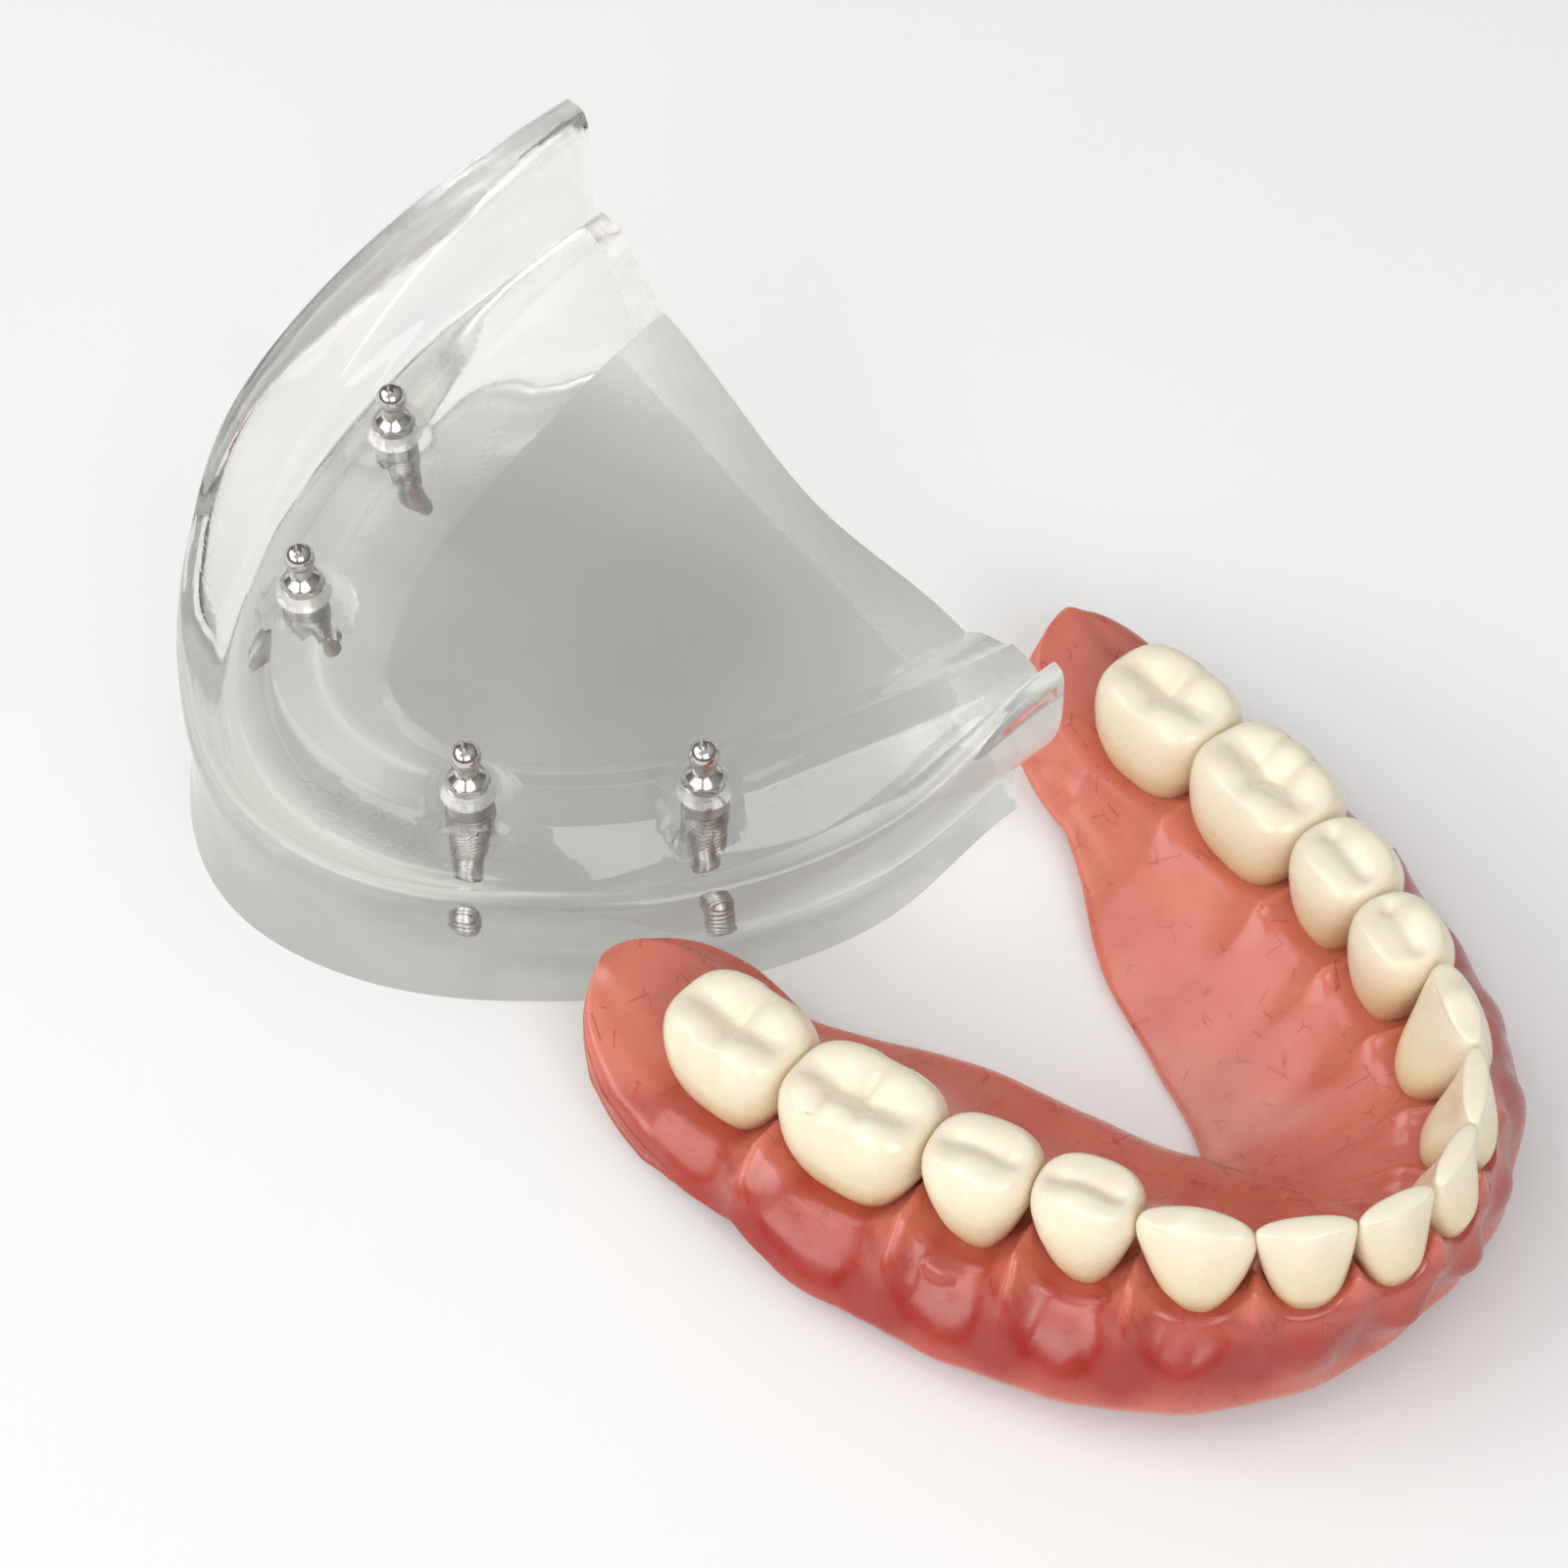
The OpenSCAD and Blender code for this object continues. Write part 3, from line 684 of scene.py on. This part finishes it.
def clear_acrylic():
    n = Nodes("clear_acrylic")
    waves = n.noise(95, 2, 0.4)
    fine = n.noise(600, 2, 0.5)
    scratch_place = n.add("Mapping", {"Vector": n.place(), "Scale": (1, 9, 3),
                                      "Rotation": (0.3, 0.2, 0.9)}).outputs[0]
    scratches = n.grey(n.noise(700, 3, 0.6, scratch_place), 0.62, 0.72)
    normal = n.bump(waves, 0.2, 0.0016)
    normal = n.bump(fine, 0.06, 0.0003, normal)
    normal = n.bump(scratches, 0.12, 0.00005, normal)
    rough = n.math("ADD", n.grey(n.noise(90, 4), 0.35, 0.7, 0.01, 0.07),
                   n.math("MULTIPLY", scratches, 0.15))
    tint = n.ramp(n.noise(60, 3), (0.3, (0.965, 0.97, 0.965)), (0.7, (0.975, 0.968, 0.925)))
    glass = n.add("BsdfPrincipled", {"Base Color": tint, "Roughness": rough, "Normal": normal,
                                     "IOR": 1.49, "Transmission Weight": 1.0})
    return let_lamps_through(n, glass.outputs[0], (0.8, 0.805, 0.79))


def ground_acrylic_with_painted_shade():
    """The block's underside: ground under the tongue space, clearer under the plinth; its grey
    colour is painted shade, darkest under the tongue space.
    """
    n = Nodes("ground_acrylic_with_painted_shade")
    from_middle = n.add("Mapping", {"Vector": n.place(), "Location": (0, -0.8, 0),
                                    "Scale": (30, 30, 0)}).outputs[0]
    radius = n.add("VectorMath", {0: from_middle}, operation="LENGTH").outputs["Value"]
    radius = n.math("ADD", radius, n.grey(n.noise(60, 3), 0.3, 0.7, -0.08, 0.08))
    # Painted shade: grey, darkest in the middle under the tongue space and paler out under the
    # plinth
    colour = n.ramp(radius, (0.2, (0.37, 0.375, 0.365)), (0.75, (0.46, 0.46, 0.445)),
                    (1.05, (0.7, 0.7, 0.67)))
    rough = n.grey(n.noise(300, 4), 0.3, 0.7, 0.28, 0.42)
    normal = n.bump(n.noise(2500, 3), 0.3, 0.00003)
    glass = n.add("BsdfPrincipled", {"Base Color": colour, "Roughness": rough, "Normal": normal,
                                     "IOR": 1.49, "Transmission Weight": 0.55})
    return let_lamps_through(n, glass.outputs[0], (0.85, 0.85, 0.84))


def metal(name, low, high, rough_low, rough_high, grain):
    n = Nodes(name)
    colour = n.ramp(n.noise(800, 4), (0.3, low), (0.7, high))
    brushed = n.add("Mapping", {"Vector": n.place(), "Scale": (1, 1, 14)}).outputs[0]
    lines = n.noise(900, 3, 0.6, brushed)
    rough = n.grey(n.noise(600, 4), 0.3, 0.7, rough_low, rough_high)
    normal = n.bump(lines, grain, 0.00002)
    return n.finish({"Base Color": colour, "Metallic": 1.0, "Roughness": rough, "Normal": normal})


def denture_pink():
    n = Nodes("denture_pink")
    shade_and_dark_red, pale = n.attribute("shade_and_dark_red"), n.attribute("pale")
    broad = n.noise(140, 3, 0.5)
    base = n.ramp(broad, (0.3, (0.6, 0.14, 0.092)), (0.7, (0.66, 0.19, 0.13)))
    # Mixes in the painted shade between the roots and along the necks, and the darker red of the
    # outer flank
    darkening = n.mix(shade_and_dark_red, base, (0.36, 0.022, 0.012))
    light = n.mix(n.math("MULTIPLY", pale, 0.9), darkening, (0.84, 0.54, 0.46))
    cells = n.add("TexVoronoi", {"Vector": n.add("Mapping", {
        "Vector": n.place(), "Rotation": (0.4, 0.7, 0.2), "Scale": (1, 1.6, 1)}).outputs[0],
        "Scale": 330.0, "Randomness": 1.0}, feature="DISTANCE_TO_EDGE").outputs["Distance"]
    fibre = n.grey(cells, 0.0, 0.035, 1.0, 0.0)
    broken = n.grey(n.noise(420, 2), 0.56, 0.6)
    fibre = n.math("MULTIPLY", n.math("MULTIPLY", fibre, broken), 0.75)
    colour = n.mix(fibre, light, (0.33, 0.03, 0.02))
    rough = n.grey(n.noise(700, 4), 0.3, 0.7, 0.2, 0.36)
    bubbles = n.add("TexVoronoi", {"Vector": n.place(), "Scale": 500.0}).outputs["Distance"]
    pits = n.grey(bubbles, 0.05, 0.16, 1.0, 0.0)
    normal = n.bump(n.noise(260, 4, 0.55), 0.15, 0.0004)
    normal = n.bump(n.noise(1500, 3, 0.6), 0.16, 0.00008, normal)
    normal = n.bump(n.math("MULTIPLY", pits, n.grey(n.noise(160, 2), 0.55, 0.65)), 0.2, 0.00006,
                    normal)
    return n.finish({"Base Color": colour, "Roughness": rough, "Normal": normal, "IOR": 1.49,
                     "Subsurface Weight": 0.25, "Subsurface Radius": (0.9, 0.25, 0.16),
                     "Subsurface Scale": 0.0026, "Coat Weight": 0.4, "Coat Roughness": 0.18})


def tooth_ivory():
    n = Nodes("tooth_ivory")
    height = n.math("ADD", n.attribute("height"), n.grey(n.noise(260, 3), 0.3, 0.7, -0.06, 0.06))
    colour = n.ramp(height, (0.0, (0.7, 0.54, 0.3)), (0.35, (0.8, 0.68, 0.45)),
                    (0.7, (0.86, 0.76, 0.56)), (1.0, (0.89, 0.82, 0.66)))
    streaks = n.add("Mapping", {"Vector": n.place(), "Scale": (1, 1, 0.25)}).outputs[0]
    colour = n.mix(n.grey(n.noise(900, 3, 0.5, streaks), 0.5, 0.75, 0.0, 0.12), colour,
                   (0.88, 0.79, 0.62))
    rough = n.grey(n.noise(500, 3), 0.3, 0.7, 0.2, 0.34)
    normal = n.bump(n.noise(420, 3, 0.5), 0.16, 0.00025)
    normal = n.bump(n.noise(1800, 3, 0.6, streaks), 0.1, 0.00004, normal)
    return n.finish({"Base Color": colour, "Roughness": rough, "Normal": normal, "IOR": 1.53,
                     "Subsurface Weight": 0.4, "Subsurface Radius": (0.7, 0.5, 0.3),
                     "Subsurface Scale": 0.0018, "Coat Weight": 0.2, "Coat Roughness": 0.12})


def rubber():
    n = Nodes("o_ring_rubber")
    colour = n.ramp(n.noise(900, 4), (0.3, (0.012, 0.012, 0.013)), (0.7, (0.03, 0.03, 0.032)))
    rough = n.grey(n.noise(700, 3), 0.3, 0.7, 0.5, 0.7)
    return n.finish({"Base Color": colour, "Roughness": rough,
                     "Normal": n.bump(n.noise(2000, 3), 0.2, 0.00003)})


def table_top():
    n = Nodes("pale_table")
    colour = n.ramp(n.noise(6, 3), (0.3, (0.9, 0.9, 0.897)), (0.7, (0.92, 0.92, 0.917)))
    return n.finish({"Base Color": colour, "Roughness": n.grey(n.noise(40, 3), 0.3, 0.7, 0.6, 0.7)})


# ---- Stage ----

CAMERA_AZ, CAMERA_EL, CAMERA_DISTANCE = math.radians(54.91), math.radians(52.39), 350
CAMERA_AIM = (0, 0, 19)
CAMERA_RIGHT, CAMERA_UP = 31.4, -10
CAMERA_LENS, CAMERA_SENSOR = 103.16, 36
FLOOR_HALF = 3000


def make_camera():
    back = Vector((math.sin(CAMERA_AZ) * math.cos(CAMERA_EL),
                   -math.cos(CAMERA_AZ) * math.cos(CAMERA_EL), math.sin(CAMERA_EL)))
    right = Vector((math.cos(CAMERA_AZ), math.sin(CAMERA_AZ), 0))
    up = back.cross(right)
    data = bpy.data.cameras.new("camera")
    data.sensor_width = CAMERA_SENSOR
    data.lens = CAMERA_LENS
    data.clip_start = 0.01
    camera = bpy.data.objects.new("camera", data)
    bpy.context.scene.collection.objects.link(camera)
    place = Vector(CAMERA_AIM) + back * CAMERA_DISTANCE + right * CAMERA_RIGHT + up * CAMERA_UP
    turn = Matrix((right, up, back)).transposed().to_4x4()
    camera.matrix_world = Matrix.Translation(place * MM) @ turn
    bpy.context.scene.camera = camera


def area_light(name, place, aim, size, power, colour=(1, 1, 1)):
    data = bpy.data.lights.new(name, "AREA")
    data.shape = "RECTANGLE"
    data.size, data.size_y = size
    data.energy = power
    data.color = colour
    light = bpy.data.objects.new(name, data)
    bpy.context.scene.collection.objects.link(light)
    direction = Vector(aim) - Vector(place)
    light.matrix_world = Matrix.Translation(place) @ direction.to_track_quat("-Z", "Y") \
        .to_matrix().to_4x4()


def make_stage():
    corners = [(x * FLOOR_HALF, y * FLOOR_HALF, -0.05)
               for x, y in ((-1, -1), (1, -1), (1, 1), (-1, 1))]
    floor = mesh_object("table", corners, [(0, 1, 2, 3)])
    floor.data.materials.append(table_top())
    world = bpy.data.worlds.new("studio")
    world.use_nodes = True
    tree = world.node_tree
    height = tree.nodes.new("ShaderNodeSeparateXYZ")
    ramp = tree.nodes.new("ShaderNodeValToRGB")
    for element, (position, grey) in zip(ramp.color_ramp.elements, ((0.0, 0.16), (0.75, 0.95))):
        element.position = position
        element.color = (grey, grey, grey, 1)
    tree.links.new(tree.nodes.new("ShaderNodeTexCoord").outputs["Generated"], height.inputs[0])
    tree.links.new(height.outputs["Z"], ramp.inputs[0])
    background = tree.nodes["Background"]
    tree.links.new(ramp.outputs[0], background.inputs["Color"])
    background.inputs["Strength"].default_value = 0.62
    bpy.context.scene.world = world
    aim = (0.03, 0.02, 0.01)
    area_light("key", (-0.45, -0.5, 0.7), aim, (0.8, 0.8), 3.5, (1, 0.985, 0.96))
    area_light("fill", (0.75, -0.2, 0.6), aim, (0.6, 0.5), 3.2, (0.97, 0.985, 1))
    area_light("front", (0.15, -0.8, 0.5), aim, (0.7, 0.35), 2.4)
    bpy.context.scene.view_settings.view_transform = "Standard"


# ---- The object ----

make_camera()
make_stage()

block = make_block()
block.data.materials.clear()
block.data.materials.append(clear_acrylic())
block.data.materials.append(ground_acrylic_with_painted_shade())
for face in block.data.polygons:
    face.material_index = 1 if face.center.z < 0.05 * MM and face.normal.z < -0.9 else 0
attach(block, "jaw")
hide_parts("jaw_block")

pink = denture_pink()
gum = make_denture()
gum.data.materials.clear()
gum.data.materials.append(pink)
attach(gum, "denture")
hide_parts("denture_base")

ivory = tooth_ivory()
rng = np.random.default_rng(7)
for kind_number, kind_name in enumerate(KINDS):
    for side_name in SIDES:
        tooth = make_tooth(kind_number, side_name, rng)
        tooth.data.materials.append(ivory)
        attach(tooth, "denture")
        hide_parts(f"{kind_name}_{side_name}")

node_materials = {
    "implant": metal("implant_metal", (0.42, 0.41, 0.39), (0.56, 0.545, 0.52), 0.24, 0.38, 0.2),
    "ball_abutment": metal("abutment_metal", (0.56, 0.54, 0.51), (0.68, 0.66, 0.63),
                           0.08, 0.17, 0.08),
    "retention_housing": metal("housing_metal", (0.55, 0.54, 0.53), (0.66, 0.65, 0.64),
                               0.3, 0.42, 0.3),
    "o_ring": rubber()}
for row_name, side_name in PLACES:
    for part, material in node_materials.items():
        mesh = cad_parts[f"{part}_{row_name}_{side_name}"].data
        mesh.materials.clear()
        mesh.materials.append(material)
